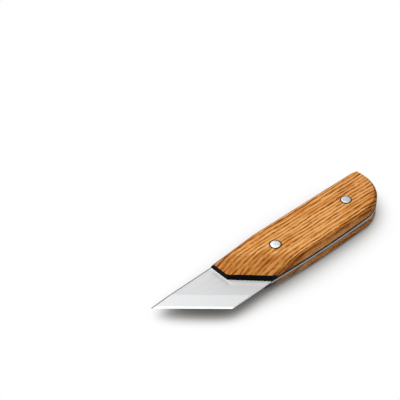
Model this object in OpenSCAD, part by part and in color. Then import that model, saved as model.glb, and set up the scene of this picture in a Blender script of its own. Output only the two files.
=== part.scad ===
// Skew carving knife: a full-tang steel blade between two shaped wooden scales held by two cutler's rivets.
// The knife lies on its lower scale, tip towards -X, spine towards +Y. Sizes are in millimetres.

/* [Blade] */
// Length of the knife from the tip to the butt
overall_l = 158.4; // [140:0.1:190]
// Width of the blade from the spine to the lower edge
blade_w = 30; // [24:0.1:31]
// Thickness of the steel
steel_t = 1.8; // [1.2:0.1:3]
// Angle between the spine and the cutting edge
edge_angle = 43.5; // [38:0.1:60]
// Length of bare spine from the tip to the scales
spine_l = 44; // [36:0.5:60]
// Width of the ground bevel, square to the cutting edge
bevel_w = 9.3; // [5:0.1:13]
// Width of the honed bevel at the cutting edge
hone_w = 1.3; // [0.6:0.1:2.5]
// Thickness of the steel where the honed bevel begins
hone_t = 0.4; // [0.2:0.05:0.8]

/* [Handle outline] */
// Greatest width of the handle, from the line of the blade's spine to the belly
handle_w = 32.2; // [30:0.1:40]
// Angle at which the handle's spine falls away from the blade's spine
spine_fall = 1.4; // [0:0.1:3]
// Radius of the belly's long curve
belly_r = 880; // [500:10:1500]
// Distance from the butt to the widest place of the belly
belly_back = 40.4; // [25:0.1:60]
// Radius of the round butt
butt_r = 23.2; // [18:0.1:28]
// Depth of the cut that eases the corner of the spine and the butt
corner_cut = 0.8; // [0.2:0.1:2]

/* [Scales] */
// Full thickness of each scale
scale_t = 6.6; // [5.8:0.1:9]
// Length of the first front edge, square to the spine
front_step = 12.9; // [6:0.1:18]
// Angle between the spine and the second, skewed front edge
front_angle = 46; // [38:1:60]
// Thickness of each scale at the first front edge
nose_h = 3.7; // [2.5:0.1:5]
// Length of the planed fall from the full thickness to the first front edge
nose_fall_l = 27; // [18:0.5:40]
// Thickness of each scale at the skewed front edge
front_h = 4.2; // [2.5:0.1:5.4]
// Length of the planed fall from the full thickness to the skewed front edge
front_fall_l = 14.5; // [9:0.5:25]
// Height of the side walls under the long chamfers
wall_h = 4.6; // [3.2:0.1:5.4]
// Slope of the long chamfers
chamfer_angle = 48; // [40:1:65]
// Height of the spine wall at the very front
nose_wall_h = 0.9; // [0.5:0.1:2.9]
// Length of the facet that lowers the spine wall towards the front
nose_l = 31; // [15:1:50]
// Height of the lower scale's belly wall at the very front, eased for the forefinger
finger_wall_h = 1.7; // [0.6:0.1:2.9]
// Length of the facet that lowers the lower scale's belly wall towards the front
finger_l = 34; // [15:1:50]

/* [Rivets] */
// Distance of the front rivet behind the first front edge
front_rivet_back = 33.8; // [26:0.2:45]
// Distance of the front rivet from the line of the blade's spine
front_rivet_in = 16; // [12:0.1:21]
// Distance of the rear rivet from the butt
rear_rivet_fore = 25.1; // [15:0.1:40]
// Distance of the rear rivet from the line of the blade's spine
rear_rivet_in = 17.6; // [12:0.1:22]
// Diameter of the rivet heads
head_d = 5.8; // [5.2:0.1:8]
// Thickness of the rivet heads
head_h = 1.8; // [1.2:0.1:2.4]
// Height of the upper heads above the full thickness of the scale
head_proud = 0.3; // [0:0.05:0.5]
// Bevel round the face of each head
head_bevel = 0.2; // [0.1:0.05:0.5]
// Outer diameter of the rivet sleeve
sleeve_d = 4; // [3.2:0.1:4.6]
// Diameter of the rivet pin
pin_d = 2.4; // [1.6:0.1:2.8]

/* [Fits] */
// Gap all round a sleeve in the scales and the tang
sleeve_gap = 0.1; // [0.05:0.01:0.3]
// Gap all round a head in its counterbore
head_gap = 0.15; // [0.05:0.01:0.4]
// Gap all round a pin in its sleeve
pin_gap = 0.02; // [0.01:0.01:0.06]
// Gap at the end of a pin and at the end of a sleeve
end_gap = 0.3; // [0.1:0.05:0.8]

/* [Hidden] */

// Sides of the drawn circles: small bores and long outline curves
$fn = 96;
arc_sides = 720;

// How far cutting forms reach past the knife
reach = 2 * overall_l;
// Height by which a cutting form stands clear of what it cuts
over = 1;
// Run of the butt's round outside the belly before the two cross
butt_lap = 0.1;

// Plan points: tip, start of the scales on the spine, corner of the two front edges, end of the lower edge
tip_x = -overall_l / 2;
butt_x = overall_l / 2;
spine_y = handle_w / 2;
belly_y = -handle_w / 2;
lower_y = spine_y - blade_w;
front_x = tip_x + spine_l;
corner_y = spine_y - front_step;
lower_end_x = front_x + (blade_w - front_step) / tan(front_angle);

// Belly curve and butt round, which cross just behind the round's centre
belly_x = butt_x - belly_back;
belly_cy = belly_y + belly_r;
butt_cx = butt_x - butt_r;
butt_cy = belly_cy - sqrt(belly_r ^ 2 - (butt_cx - belly_x) ^ 2) + butt_r - butt_lap;
// Angle of the belly curve where the lower edge ends
belly_turn = asin((lower_end_x - belly_x) / belly_r);

// Corner of the handle's spine and the butt, measured along and square to that spine
butt_along = (butt_cx - front_x) * cos(spine_fall) - (butt_cy - spine_y) * sin(spine_fall);
butt_off = (butt_cx - front_x) * sin(spine_fall) + (butt_cy - spine_y) * cos(spine_fall);
corner_run = sqrt(butt_r ^ 2 - butt_off ^ 2);
corner_turn = (atan2(-butt_off, corner_run) + 90) / 2;

// Heights, with the middle of the steel at 0 until the knife is set down
face_z = steel_t / 2;
top_z = face_z + scale_t;
chamfer_in = (scale_t - wall_h) / tan(chamfer_angle);
nose_pitch = atan((wall_h - nose_wall_h) / nose_l);
finger_pitch = atan((wall_h - finger_wall_h) / finger_l);

// Slope of the ground bevel, carried on past the steel's faces
bevel_slope = (steel_t - hone_t) / 2 / (bevel_w - hone_w);
bevel_far_z = hone_t / 2 + (reach - hone_w) * bevel_slope;

// Rivet places, seats and inner lengths
front_rivet_at = [front_x + front_rivet_back, spine_y - front_rivet_in];
rear_rivet_at = [butt_x - rear_rivet_fore, spine_y - rear_rivet_in];
upper_head_z = top_z + head_proud;
upper_seat_z = upper_head_z - head_h;
lower_seat_z = head_h - top_z;
sleeve_end_z = upper_seat_z - end_gap;
pin_end_z = lower_seat_z + end_gap;

// Puts a form whose +X runs along the handle's spine, from the front of the scales
module along_spine() {
    translate([front_x, spine_y, 0])
        rotate(-spine_fall)
            children();
}

// Outline of the handle behind its two front edges
module handle_plan() {
    intersection() {
        translate([belly_x, belly_cy])
            circle(r = belly_r, $fn = arc_sides);
        union() {
            translate([butt_cx, butt_cy])
                circle(r = butt_r, $fn = arc_sides);
            translate([butt_cx - reach, -reach / 2])
                square([reach, reach]);
        }
        along_spine()
            translate([-reach / 2, -reach])
                square([reach, reach]);
        along_spine()
            translate([butt_along + corner_run, 0])
                rotate(corner_turn)
                    translate([-corner_cut - reach, -reach / 2])
                        square([reach, reach]);
        translate([front_x, -reach / 2])
            square([reach, reach]);
        translate([front_x, corner_y])
            rotate(90 - front_angle)
                translate([0, -reach / 2])
                    square([reach, reach]);
    }
}

// Outline of the bare blade, square at the front until it is ground
module blade_plan() {
    polygon([
        [tip_x, spine_y],
        [front_x, spine_y],
        [lower_end_x, corner_y],
        [lower_end_x, lower_y],
        [tip_x, lower_y],
    ]);
}

// Double wedge of the ground and honed bevels, sharp along the skewed cutting edge
module grind() {
    translate([tip_x, spine_y, 0])
        rotate(90 - edge_angle)
            rotate([90, 0, 0])
                linear_extrude(2 * reach, center = true)
                    polygon([
                        [0, 0],
                        [hone_w, hone_t / 2],
                        [reach, bevel_far_z],
                        [reach, -bevel_far_z],
                        [hone_w, -hone_t / 2],
                    ]);
}

// Half space under the planed fall of a scale towards a front edge that lies on the Y axis
module under_fall(height, length) {
    translate([0, 0, height])
        rotate([0, -atan((scale_t - height) / length), 0])
            translate([-reach / 2, -reach, -reach])
                cube([reach, 2 * reach, reach]);
}

// Long chamfer round the belly
module belly_chamfer() {
    translate([belly_x, belly_cy, 0])
        cylinder(
            r1 = belly_r + wall_h / tan(chamfer_angle),
            r2 = belly_r - chamfer_in,
            h = scale_t,
            $fn = arc_sides
        );
}

// Chamfer round the butt, with everything before the butt left whole
module butt_chamfer() {
    translate([butt_cx, butt_cy, 0])
        cylinder(
            r1 = butt_r + wall_h / tan(chamfer_angle),
            r2 = butt_r - chamfer_in,
            h = scale_t,
            $fn = arc_sides
        );
    translate([butt_cx - reach, -reach / 2, -over])
        cube([reach, reach, scale_t + 2 * over]);
}

// Half space under a chamfer that starts at a given height on a wall along the X axis
module under_chamfer(height) {
    translate([0, 0, height])
        rotate([-chamfer_angle, 0, 0])
            translate([-reach / 2, -reach, -reach])
                cube([reach, 2 * reach, reach]);
}

// Long chamfer on the spine, and the facet that lowers it towards the front
module spine_chamfer() {
    along_spine()
        intersection() {
            under_chamfer(wall_h);
            rotate([0, -nose_pitch, 0])
                under_chamfer(nose_wall_h);
        }
}

// Facet that lowers the belly wall towards the front
module finger_facet() {
    translate([belly_x, belly_cy, 0])
        rotate(belly_turn)
            translate([0, -belly_r, 0])
                rotate([0, -finger_pitch, 0])
                    mirror([0, 1, 0])
                        under_chamfer(finger_wall_h);
}

// Solid body of one scale on its inner face, before the rivet holes
module scale_body() {
    intersection() {
        linear_extrude(scale_t)
            handle_plan();
        belly_chamfer();
        butt_chamfer();
        spine_chamfer();
        translate([front_x, corner_y, 0])
            rotate(90 - front_angle)
                under_fall(front_h, front_fall_l);
        translate([front_x, corner_y, 0])
            under_fall(nose_h, nose_fall_l);
    }
}

// Hole for a sleeve with a counterbore for its head, cut from the inner face of a scale
module rivet_hole(at, seat) {
    translate([at.x, at.y, -over])
        cylinder(d = sleeve_d + 2 * sleeve_gap, h = scale_t + 2 * over);
    translate([at.x, at.y, seat])
        cylinder(d = head_d + 2 * head_gap, h = scale_t + over - seat);
}

// One scale with both rivet holes, the heads seated at a given height over its inner face
module drilled_scale(seat) {
    difference() {
        scale_body();
        rivet_hole(front_rivet_at, seat);
        rivet_hole(rear_rivet_at, seat);
    }
}

// Sets the knife down so that the lower scale lies on the XY plane
module set_down() {
    translate([0, 0, top_z])
        children();
}

// Steel blade and tang in one piece
module blade() {
    color("#c9ccd1")
        set_down()
            difference() {
                intersection() {
                    union() {
                        linear_extrude(steel_t, center = true)
                            blade_plan();
                        linear_extrude(steel_t, center = true)
                            handle_plan();
                    }
                    grind();
                }
                for (at = [front_rivet_at, rear_rivet_at])
                    translate([at.x, at.y, -steel_t])
                        cylinder(d = sleeve_d + 2 * sleeve_gap, h = 2 * steel_t);
            }
}

// Wooden scale on top of the tang
module upper_scale() {
    color("#c98f4f")
        set_down()
            translate([0, 0, face_z])
                drilled_scale(upper_seat_z - face_z);
}

// Wooden scale under the tang
module lower_scale() {
    color("#bd8344")
        set_down()
            mirror([0, 0, 1])
                translate([0, 0, face_z])
                    intersection() {
                        drilled_scale(-lower_seat_z - face_z);
                        finger_facet();
                    }
}

// Rivet half with a solid pin, its head in the upper scale
module rivet_pin(at) {
    set_down()
        translate([at.x, at.y, 0])
            rotate_extrude()
                polygon([
                    [0, pin_end_z],
                    [pin_d / 2, pin_end_z],
                    [pin_d / 2, upper_seat_z],
                    [head_d / 2, upper_seat_z],
                    [head_d / 2, upper_head_z - head_bevel],
                    [head_d / 2 - head_bevel, upper_head_z],
                    [0, upper_head_z],
                ]);
}

// Rivet half with a hollow sleeve, its head flush in the lower scale
module rivet_sleeve(at) {
    set_down()
        translate([at.x, at.y, 0])
            rotate_extrude()
                polygon([
                    [0, -top_z],
                    [head_d / 2 - head_bevel, -top_z],
                    [head_d / 2, head_bevel - top_z],
                    [head_d / 2, lower_seat_z],
                    [sleeve_d / 2, lower_seat_z],
                    [sleeve_d / 2, sleeve_end_z],
                    [pin_d / 2 + pin_gap, sleeve_end_z],
                    [pin_d / 2 + pin_gap, lower_seat_z],
                    [0, lower_seat_z],
                ]);
}

// Front rivet
module front_rivet_pin() {
    color("#d9dbde")
        rivet_pin(front_rivet_at);
}

module front_rivet_sleeve() {
    color("#cfd2d6")
        rivet_sleeve(front_rivet_at);
}

// Rear rivet
module rear_rivet_pin() {
    color("#d9dbde")
        rivet_pin(rear_rivet_at);
}

module rear_rivet_sleeve() {
    color("#cfd2d6")
        rivet_sleeve(rear_rivet_at);
}

blade();
upper_scale();
lower_scale();
front_rivet_pin();
front_rivet_sleeve();
rear_rivet_pin();
rear_rivet_sleeve();
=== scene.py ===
"""Looks of a skew carving knife: ground steel, oiled scales with painted fronts, and aluminium rivets."""

import logging
import math
from collections.abc import Iterator
from dataclasses import dataclass
from enum import Enum

import bpy
from bpy.types import Material, NodeSocket, NodeTree, Object
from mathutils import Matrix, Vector


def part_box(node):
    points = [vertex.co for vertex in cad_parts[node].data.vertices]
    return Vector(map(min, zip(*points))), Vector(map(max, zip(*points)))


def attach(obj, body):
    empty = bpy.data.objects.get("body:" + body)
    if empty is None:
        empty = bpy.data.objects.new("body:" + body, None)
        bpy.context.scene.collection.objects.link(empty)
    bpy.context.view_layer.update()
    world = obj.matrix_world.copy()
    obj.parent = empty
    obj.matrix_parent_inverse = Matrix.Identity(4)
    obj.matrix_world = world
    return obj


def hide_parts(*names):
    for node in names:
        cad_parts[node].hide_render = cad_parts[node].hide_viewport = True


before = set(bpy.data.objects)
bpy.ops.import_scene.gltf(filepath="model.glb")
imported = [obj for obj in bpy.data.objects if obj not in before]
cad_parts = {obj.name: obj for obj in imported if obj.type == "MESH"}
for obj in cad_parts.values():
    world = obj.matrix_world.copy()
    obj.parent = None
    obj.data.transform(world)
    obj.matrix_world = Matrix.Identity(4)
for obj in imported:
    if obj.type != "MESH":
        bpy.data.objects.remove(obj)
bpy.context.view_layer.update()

MM = 0.001
CUT_TOLERANCE = 1e-7
SAME_HEIGHT = 1e-6
HEAD_HEIGHT = 1.8
BODY = "root"
LOG = logging.getLogger("knife")

Plane = tuple[Vector, Vector]
Span = tuple[float, float]
Triple = tuple[float, float, float]
Stops = tuple[tuple[float, str], ...]

SHARE: Span = (0.0, 1.0)
FADING: Span = (1.0, 0.0)


class Side(Enum):
    """Which scale of the handle, as the way that its outer face looks along Z."""

    UPPER = 1
    LOWER = -1


class Place(Enum):
    """Which rivet of the handle."""

    FRONT = "front"
    REAR = "rear"


class Half(Enum):
    """Which half of a two-piece rivet."""

    PIN = "pin"
    SLEEVE = "sleeve"


class Slot(Enum):
    """Names of the record's material slots."""

    STEEL = "blade_steel"
    WOOD = "handle_wood"
    RIVET = "rivet_aluminium"


# Small tools for nodes


def linear(code: str) -> tuple[float, float, float, float]:
    """Turns an sRGB hex colour into a linear one, by the standard's curve.

    Args:
        code: colour as six hex digits after a hash sign.

    Returns:
        Red, green, blue and alpha, linear.
    """
    parts = [int(code[i : i + 2], 16) / 255 for i in (1, 3, 5)]
    levels = [p / 12.92 if p <= 0.04045 else ((p + 0.055) / 1.055) ** 2.4 for p in parts]
    return (*levels, 1.0)


def add_node(
    tree: NodeTree,
    kind: str,
    inputs: dict[str | int, object] | None = None,
    out: str | int | None = None,
    stops: Stops = (),
    **settings: object,
) -> NodeSocket | None:
    """Adds a node with its settings, values and links.

    Args:
        tree: node tree that gets the node.
        kind: node type without its ShaderNode prefix.
        inputs: value or linked output socket for each input, by name or place.
        out: output that is returned, where it isn't the first one in use.
        stops: places and hex colours of a colour ramp.
        settings: properties of the node.

    Returns:
        The output, or nothing for a node that has none.
    """
    node = tree.nodes.new("ShaderNode" + kind)
    for name, value in settings.items():
        setattr(node, name, value)
    for key, value in (inputs or {}).items():
        if isinstance(value, NodeSocket):
            tree.links.new(value, node.inputs[key])
        else:
            node.inputs[key].default_value = value
    for i, (place, code) in enumerate(stops):
        ramp = node.color_ramp.elements
        stop = ramp[i] if i < len(ramp) else ramp.new(place)
        stop.position = place
        stop.color = linear(code)
    if out is not None:
        return node.outputs[out]
    return next((socket for socket in node.outputs if socket.enabled), None)


def limits(taken: Span, given: Span = SHARE) -> dict[str, float]:
    """Names the limits by which one range is mapped to another.

    Args:
        taken: range of the value that comes in.
        given: range that it is mapped to.

    Returns:
        The limits by the names of their inputs.
    """
    return dict(zip(("From Min", "From Max", "To Min", "To Max"), (*taken, *given)))


def new_material(name: str) -> tuple[Material, NodeTree]:
    """Makes an empty node material.

    Args:
        name: name of the material.

    Returns:
        The material and its node tree.
    """
    material = bpy.data.materials.new(name)
    material.use_nodes = True
    material.node_tree.nodes.clear()
    return material, material.node_tree


def in_millimetres(tree: NodeTree) -> NodeSocket:
    """Adds the place on a piece, in millimetres."""
    place = add_node(tree, "TexCoord", out="Object")
    return add_node(tree, "VectorMath", {0: place, "Scale": 1 / MM}, operation="SCALE")


def depth_from(tree: NodeTree, in_mm: NodeSocket, point: Vector, direction: Vector) -> NodeSocket:
    """Adds how far a place lies from a point, along a direction."""
    step = add_node(tree, "VectorMath", {0: in_mm, 1: point}, operation="SUBTRACT")
    return add_node(tree, "VectorMath", {0: step, 1: direction}, out="Value", operation="DOT_PRODUCT")


def from_axis(tree: NodeTree, in_mm: NodeSocket, centre: Vector) -> NodeSocket:
    """Adds the distance of a place from the upright line through a centre.

    Args:
        tree: node tree of the material.
        in_mm: place on the piece in millimetres.
        centre: any point of the line.

    Returns:
        The distance in millimetres.
    """
    level = add_node(tree, "VectorMath", {0: in_mm, 1: (1, 1, 0)}, operation="MULTIPLY")
    foot = (centre.x, centre.y, 0)
    return add_node(tree, "VectorMath", {0: level, 1: foot}, out="Value", operation="DISTANCE")


def drawn_noise(
    tree: NodeTree, place: NodeSocket, length: float, width: float, detail: float = 2.0
) -> NodeSocket:
    """Adds noise that is drawn out along X.

    Args:
        tree: node tree of the material.
        place: place on the piece in millimetres.
        length: length of the spots in millimetres.
        width: width of the spots in millimetres.
        detail: levels of finer noise in them.

    Returns:
        The noise, from 0 to 1.
    """
    scale = (1 / length, 1 / width, 1 / width)
    drawn = add_node(tree, "Mapping", {"Vector": place, "Scale": scale})
    return add_node(tree, "TexNoise", {"Vector": drawn, "Scale": 1.0, "Detail": detail})


def seen_rays(tree: NodeTree) -> NodeSocket:
    """Adds 1 for rays by which the picture, a gloss or a glass shows the background, else 0.

    Args:
        tree: node tree of a material or of the world.

    Returns:
        The 1 or 0.
    """
    path = add_node(tree, "LightPath").node.outputs
    seen = path["Is Camera Ray"]
    for kind in ("Is Glossy Ray", "Is Transmission Ray"):
        seen = add_node(tree, "Math", {0: seen, 1: path[kind]}, operation="MAXIMUM")
    return seen


# Small tools for meshes


def pick(piece: Object) -> None:
    """Makes one object the only selected and the active one.

    Args:
        piece: object that is picked.
    """
    bpy.ops.object.select_all(action="DESELECT")
    piece.select_set(True)
    bpy.context.view_layer.objects.active = piece


def named(name: str) -> Object:
    """Puts the new primitive's place into its mesh and names it.

    Args:
        name: name of the piece.

    Returns:
        The piece.
    """
    bpy.ops.object.transform_apply(location=True, rotation=True, scale=True)
    piece = bpy.context.object
    piece.name = name
    piece.data.name = name
    return piece


def cut_away(plane: Plane) -> None:
    """Cuts off what lies on the side that a plane's normal points to, and closes the cut.

    Args:
        plane: point of the plane in millimetres, and its normal.
    """
    bpy.ops.mesh.select_all(action="SELECT")
    bpy.ops.mesh.bisect(
        plane_co=plane[0] * MM,
        plane_no=plane[1],
        use_fill=True,
        clear_outer=True,
        threshold=CUT_TOLERANCE,
    )


def rounded(first: Plane, second: Plane, radius: float, steps: int = 3) -> Iterator[Plane]:
    """Gives the planes that round off the edge between two planes.

    Args:
        first: plane on one side of the edge.
        second: plane on the other side.
        radius: radius of the round in millimetres.
        steps: number of planes in the round.

    Returns:
        The planes, from the first side to the second.
    """
    cosine = first[1].dot(second[1])
    level_1 = first[1].dot(first[0]) - radius
    level_2 = second[1].dot(second[0]) - radius
    axis = first[1] * (level_1 - level_2 * cosine) + second[1] * (level_2 - level_1 * cosine)
    axis = axis / (1 - cosine**2)
    for i in range(1, steps + 1):
        normal = first[1].slerp(second[1], i / (steps + 1))
        yield axis + normal * radius, normal


def apply_modifier(piece: Object, kind: str, **settings: object) -> None:
    """Adds a modifier to the active piece and applies it.

    Args:
        piece: piece that is changed.
        kind: modifier type.
        settings: properties of the modifier.
    """
    modifier = piece.modifiers.new(kind.lower(), kind)
    for name, value in settings.items():
        setattr(modifier, name, value)
    bpy.ops.object.modifier_apply(modifier=modifier.name)


def select_faces(piece: Object, height: float) -> None:
    """Selects, in edit mode, the flat faces that lie at one height.

    Args:
        piece: piece in edit mode.
        height: height of the faces in millimetres.
    """
    bpy.ops.mesh.select_all(action="DESELECT")
    bpy.ops.object.mode_set(mode="OBJECT")
    for face in piece.data.polygons:
        heights = (piece.data.vertices[v].co.z for v in face.vertices)
        face.select = all(abs(z - height * MM) < SAME_HEIGHT for z in heights)
    bpy.ops.object.mode_set(mode="EDIT")


def finish_piece(piece: Object, material: Material, slot: Slot, *nodes: str) -> None:
    """Dresses a piece, lets it ride on the knife and hides the nodes that it stands for.

    Args:
        piece: finished piece.
        material: its material.
        slot: slot of the record that the finish belongs to; not used.
        nodes: solids that the piece stands for.
    """
    piece.data.materials.clear()
    piece.data.materials.append(material)
    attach(piece, BODY)
    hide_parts(*nodes)
    LOG.info("%s: %d faces", piece.name, len(piece.data.polygons))


# Finishes, with their sizes in millimetres


@dataclass(frozen=True)
class FrontPaintAndShade:
    """Paint on a scale's front, brushed on thin, with ragged edges, and a line of painted shade at the tang.

    The lap says how far it runs back and up round the belly corner. The line says between which heights over
    the tang the painted shade at the joint fades out along the handle.
    """

    colour: str
    lap: Span
    line: Span


# The upper front and lap are black paint. The lower front and lap are a grey painted shade, and the lines at
# the tang on both scales are painted shade
PAINTS_AND_SHADES = {
    Side.UPPER: FrontPaintAndShade("#040404", lap=(4.3, 4.4), line=(0.9, 1.35)),
    Side.LOWER: FrontPaintAndShade("#5c5751", lap=(3.5, 6.0), line=(0.2, 0.45)),
}


@dataclass(frozen=True)
class OiledAsh:
    """Ring-porous ash, planed, sanded and oiled, with its front painted.

    Growth layers stand on edge, so their lines run along the handle, and they swing round on the front fall.
    Each layer starts with a brown line of open pores and turns to pale, denser wood. The fall and the butt
    are deeper, because cut fibres drink more oil. The walls, the chamfers, the spine side and the butt are
    darkened further as painted shade.

    Sways, fades and streaks give the length and width of their spots, and then how far they push the layers,
    what share of a line they leave at least, and how strongly they colour.
    """

    name: str
    front: tuple[Plane, ...]
    wrap_from: Vector
    inner_z: float
    rivets: tuple[Vector, ...]
    fall: float
    butt_x: float
    paint: FrontPaintAndShade

    # Run of the growth layers, and which of them show
    layer: float = 2.1
    figure: float = 56.0
    slant: float = 0.35
    run_out: float = 0.02
    swing: float = 0.25
    swing_round: float = 5.0
    sways: tuple[Triple, ...] = ((60, 14, 2.2), (16, 5, 1.5))

    # Brown lines of early wood, uneven in place and strength
    uneven_per_mm: float = 0.3
    uneven_reach: float = 1.7
    line_edge: Span = (0.02, 0.4)
    line_least: float = 0.5
    line_weight: Span = (1.5, 1.08)
    fade_edge: Span = (0.3, 0.6)
    fades: tuple[Triple, ...] = ((13, 2.2, 0.35), (3.5, 0.8, 0.15))

    # Real vessels are 0.2 mm wide. They are drawn at about 0.5 mm, because finer ones don't show.
    pore: Span = (6.0, 0.5)
    pore_edge: Span = (0.5, 0.66)
    dense_from: float = 0.6
    late_pores: float = 0.2
    pore_weight: float = 0.3
    pore_bump: float = 0.4
    pore_depth: float = 0.12

    # Colours from late to early wood, and the streaks that shift them
    tones: Stops = (
        (0.0, "#ebb172"),
        (0.12, "#de9b53"),
        (0.38, "#c37a33"),
        (0.7, "#a05e1f"),
        (1.0, "#804711"),
    )
    streak_middle: float = 0.48
    streaks: tuple[Triple, ...] = ((12, 0.6, 0.9), (20, 1.6, 0.8), (60, 8, 0.35))

    # Share of red, green and blue left: by oil on the fall, by painted shade on walls and chamfers and on the
    # spine side, by oil and painted shade on the butt, by oil near the butt
    oil_and_shade_tints: tuple[Triple, ...] = (
        (0.75, 0.65, 0.5),
        (0.88, 0.78, 0.69),
        (0.6, 0.52, 0.45),
        (0.8, 0.74, 0.68),
        (0.92, 0.88, 0.84),
    )
    crown: float = 2.0
    # Facings that take painted shade: walls and chamfers, the spine side, and the butt along with its oil
    chamfer_shade_facing: Span = (0.7, 0.97)
    spine_shade_facing: Span = (0.1, 0.5)
    butt_facing: Span = (0.15, 0.5)
    soak: Span = (42.0, 15.0)
    rough: Span = (0.62, 0.8)
    gloss: float = 0.06

    # Painted shade in a ring round the rivets' heads, and the edge of the paint
    rings: tuple[Span, ...] = ((3.2, 4.0), (3.1, 3.75))
    rivet_shade: str = "#1c0e06"
    rivet_shade_share: float = 0.95
    ragged_per_mm: float = 1.1
    ragged: Span = (-0.3, 0.3)
    paint_depth: float = 1.2
    front_facing: Span = (0.4, 0.6)
    wall_facing: Span = (0.6, 0.75)
    lap_slope: float = 0.5

    def material(self) -> Material:
        """Builds the node material.

        Returns:
            The material.
        """
        material, tree = new_material(self.name)
        in_mm = in_millimetres(tree)
        grain = self._grain(tree, in_mm)
        lines = self._lines(tree, grain)
        pores = self._pores(tree, grain, lines)
        fall = self._on_fall(tree, in_mm)
        colour = self._colour(tree, grain, lines, pores, fall)
        colour = self._oil_and_shade(tree, in_mm, colour, fall)
        colour = self._rivet_shade(tree, in_mm, colour)
        painted = self._paint_and_shade(tree, in_mm)
        # Black paint on the upper front; a grey painted shade on the lower front; the lines at the tang are
        # painted shade
        paint = linear(self.paint.colour)
        colour = add_node(tree, "Mix", {0: painted, "A": colour, "B": paint}, data_type="RGBA")
        rough = add_node(tree, "MapRange", {"Value": pores, **limits(SHARE, self.rough)})
        pits = {"Strength": self.pore_bump, "Distance": self.pore_depth * MM, "Height": pores}
        bump = add_node(tree, "Bump", pits, invert=True)
        looks = {"Base Color": colour, "Roughness": rough, "Normal": bump, "Specular IOR Level": self.gloss}
        shader = add_node(tree, "BsdfPrincipled", looks)
        add_node(tree, "OutputMaterial", {"Surface": shader})
        return material

    def _grain(self, tree: NodeTree, in_mm: NodeSocket) -> NodeSocket:
        """Follows the grain along the handle and round the front fall.

        Args:
            tree: node tree of the material.
            in_mm: place on the piece in millimetres.

        Returns:
            Place along the grain, across its layers and up, in millimetres.
        """
        parts = add_node(tree, "SeparateXYZ", {0: in_mm}).node.outputs
        point, outward = self.front[-1]
        depth = depth_from(tree, in_mm, point, -outward)
        ahead = add_node(tree, "Math", {0: self.fall, 1: depth}, operation="SUBTRACT")
        ahead = add_node(tree, "Math", {0: ahead, 1: 0.0, 2: self.swing_round}, operation="SMOOTH_MAX")
        across = parts["Y"]
        for way, climb in ((ahead, self.swing), (parts["Z"], self.slant), (parts["X"], self.run_out)):
            across = add_node(tree, "Math", {0: way, 1: climb, 2: across}, operation="MULTIPLY_ADD")
        across = add_node(tree, "Math", {0: across, 1: self.figure}, operation="ADD")
        straight = add_node(tree, "CombineXYZ", {0: parts["X"], 1: across, 2: parts["Z"]})
        for length, width, reach in self.sways:
            sway = drawn_noise(tree, straight, length, width)
            across = add_node(tree, "Math", {0: sway, 1: reach, 2: across}, operation="MULTIPLY_ADD")
        return add_node(tree, "CombineXYZ", {0: parts["X"], 1: across, 2: parts["Z"]})

    def _lines(self, tree: NodeTree, grain: NodeSocket) -> NodeSocket:
        """Draws a thin line where each growth layer starts.

        Args:
            tree: node tree of the material.
            grain: place in the grain in millimetres.

        Returns:
            Share of early wood.
        """
        across = add_node(tree, "SeparateXYZ", {0: grain}, out="Y")
        noise = {"W": across, "Scale": self.uneven_per_mm, "Detail": 1.0}
        uneven = add_node(tree, "TexNoise", noise, noise_dimensions="1D")
        turns = add_node(tree, "Math", {0: uneven, 1: self.uneven_reach, 2: across}, operation="MULTIPLY_ADD")
        turns = add_node(tree, "Math", {0: turns, 1: self.layer}, operation="DIVIDE")
        # The nearest start of a layer is never more than half a layer off
        off = add_node(tree, "Math", {0: turns, 1: 0.5}, operation="PINGPONG")
        edge = {"Value": off, **limits(self.line_edge, FADING)}
        line = add_node(tree, "MapRange", edge, interpolation_type="SMOOTHSTEP")
        count = add_node(tree, "Math", {0: turns}, operation="ROUND")
        strength = add_node(tree, "TexWhiteNoise", {"W": count}, out="Value", noise_dimensions="1D")
        strength = add_node(tree, "MapRange", {"Value": strength, **limits(SHARE, (self.line_least, 1.0))})
        line = add_node(tree, "Math", {0: line, 1: strength}, operation="MULTIPLY")
        for length, width, least in self.fades:
            fade = drawn_noise(tree, grain, length, width)
            fade = add_node(tree, "MapRange", {"Value": fade, **limits(self.fade_edge, (least, 1.0))})
            line = add_node(tree, "Math", {0: line, 1: fade}, operation="MULTIPLY")
        return line

    def _pores(self, tree: NodeTree, grain: NodeSocket, lines: NodeSocket) -> NodeSocket:
        """Draws the pores as short dashes, dense in the early wood and few in the late wood.

        Args:
            tree: node tree of the material.
            grain: place in the grain in millimetres.
            lines: share of early wood.

        Returns:
            Share of open pore.
        """
        length, width = self.pore
        dashes = drawn_noise(tree, grain, length, width, detail=1.0)
        holes = add_node(tree, "MapRange", {"Value": dashes, **limits(self.pore_edge)})
        crowd = limits((0.0, self.dense_from), (self.late_pores, 1.0))
        dense = add_node(tree, "MapRange", {"Value": lines, **crowd})
        return add_node(tree, "Math", {0: holes, 1: dense}, operation="MULTIPLY")

    def _colour(
        self, tree: NodeTree, grain: NodeSocket, lines: NodeSocket, pores: NodeSocket, fall: NodeSocket
    ) -> NodeSocket:
        """Colours the late wood pale, the early wood and pores brown, and draws streaks through both.

        Args:
            tree: node tree of the material.
            grain: place in the grain in millimetres.
            lines: share of early wood.
            pores: share of open pore.
            fall: 1 on the front fall, where the lines are fainter.

        Returns:
            Colour of the wood.
        """
        weight = add_node(tree, "MapRange", {"Value": fall, **limits(SHARE, self.line_weight)})
        tone = add_node(tree, "Math", {0: lines, 1: weight}, operation="MULTIPLY")
        tone = add_node(tree, "Math", {0: pores, 1: self.pore_weight, 2: tone}, operation="MULTIPLY_ADD")
        for length, width, depth in self.streaks:
            streak = drawn_noise(tree, grain, length, width)
            streak = add_node(tree, "Math", {0: streak, 1: self.streak_middle}, operation="SUBTRACT")
            tone = add_node(tree, "Math", {0: streak, 1: depth, 2: tone}, operation="MULTIPLY_ADD")
        return add_node(tree, "ValToRGB", {0: tone}, stops=self.tones)

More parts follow.
